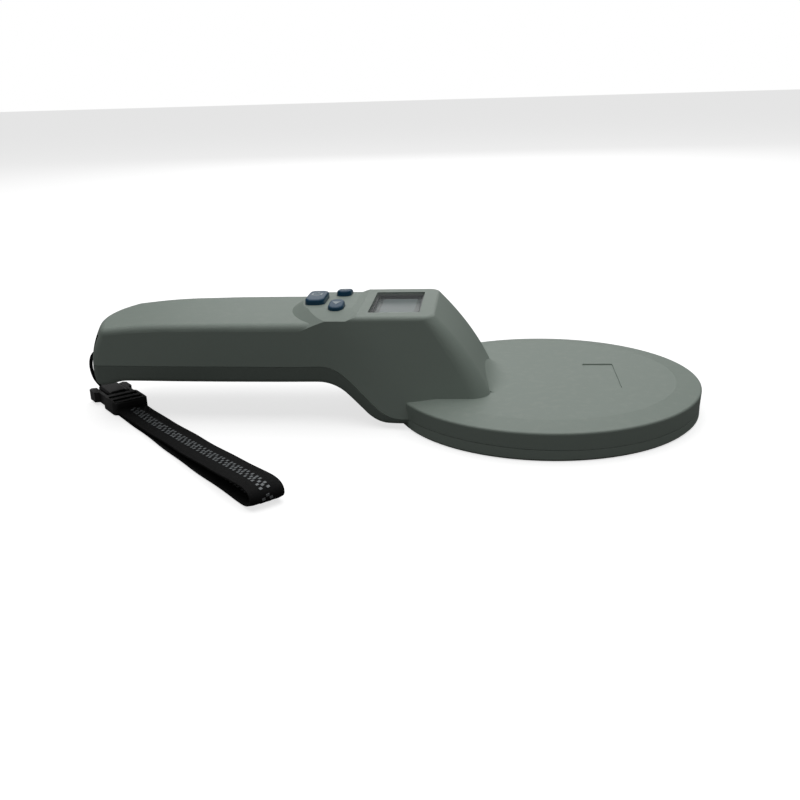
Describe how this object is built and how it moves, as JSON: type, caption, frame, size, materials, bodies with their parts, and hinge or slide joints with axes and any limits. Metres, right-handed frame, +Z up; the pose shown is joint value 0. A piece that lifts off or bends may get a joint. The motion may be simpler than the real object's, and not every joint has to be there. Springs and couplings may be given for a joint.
{
  "type": "microchip scanner",
  "caption": "Handheld animal microchip scanner: round flat antenna head, display housing with keys, grip with battery bay and a wrist loop on a clip.",
  "frame": {"origin": "centre of the round antenna head's flat underside", "axes": "+Z up from the table through the head, +X from the grip towards the head's far rim, +Y to the user's left when holding the grip and looking along +X"},
  "size_m": [0.3001, 0.1948, 0.055],
  "materials": {
    "grey_shell": "fine satin moulded",
    "cell_case": "satin",
    "black_plastic": "satin",
    "lead_wire": "satin",
    "clear_window": "polished",
    "display_glass": "polished",
    "white_plastic": "satin",
    "board": "solder mask",
    "screw_steel": "plated",
    "key_rubber": "matt",
    "blue_keys": "satin",
    "copper": "enamelled wire",
    "cord": "braided",
    "webbing": "woven"
  },
  "bodies": {
    "housing": {"upper_shell": "grey_shell", "lower_shell": "grey_shell", "battery_block": "cell_case", "battery_snap": "black_plastic", "battery_lead": "lead_wire", "display_window": "clear_window", "display_bezel": "black_plastic", "lcd_panel": "display_glass", "lcd_carrier": "white_plastic", "main_board": "board", "board_chips": "black_plastic", "buzzer": "black_plastic", "board_screws": "screw_steel", "keypad_mat": "key_rubber", "coil_former": "white_plastic", "antenna_coil": "copper", "coil_lead": "copper", "disc_screws": "screw_steel", "handle_screws": "screw_steel", "strap_pin": "screw_steel", "strap_cord": "cord", "buckle_socket": "black_plastic"},
    "read_key": {"read_button": "blue_keys"},
    "up_key": {"up_button": "blue_keys"},
    "down_key": {"down_button": "blue_keys"},
    "door": {"battery_cover": "grey_shell"},
    "wrist_loop": {"buckle_plug": "black_plastic", "strap_webbing": "webbing"}
  },
  "joints": [
    {"name": "read_press", "type": "slide", "parent": "housing", "child": "read_key", "axis": [0, 0, -1], "range_m": [0, 0.0008], "stiffness_N_per_m": 900},
    {"name": "up_press", "type": "slide", "parent": "housing", "child": "up_key", "axis": [0, 0, -1], "range_m": [0, 0.0008], "stiffness_N_per_m": 900},
    {"name": "down_press", "type": "slide", "parent": "housing", "child": "down_key", "axis": [0, 0, -1], "range_m": [0, 0.0008], "stiffness_N_per_m": 900},
    {"name": "door_hinge", "type": "hinge", "parent": "housing", "child": "door", "pos_m": [-0.1662, 0, 0.0185], "axis": [0, 1, 0], "range_deg": [0, 75]},
    {"name": "buckle_pull", "type": "slide", "parent": "housing", "child": "wrist_loop", "axis": [0.6633, -0.7484, 0], "range_m": [0, 0.018]}
  ]
}
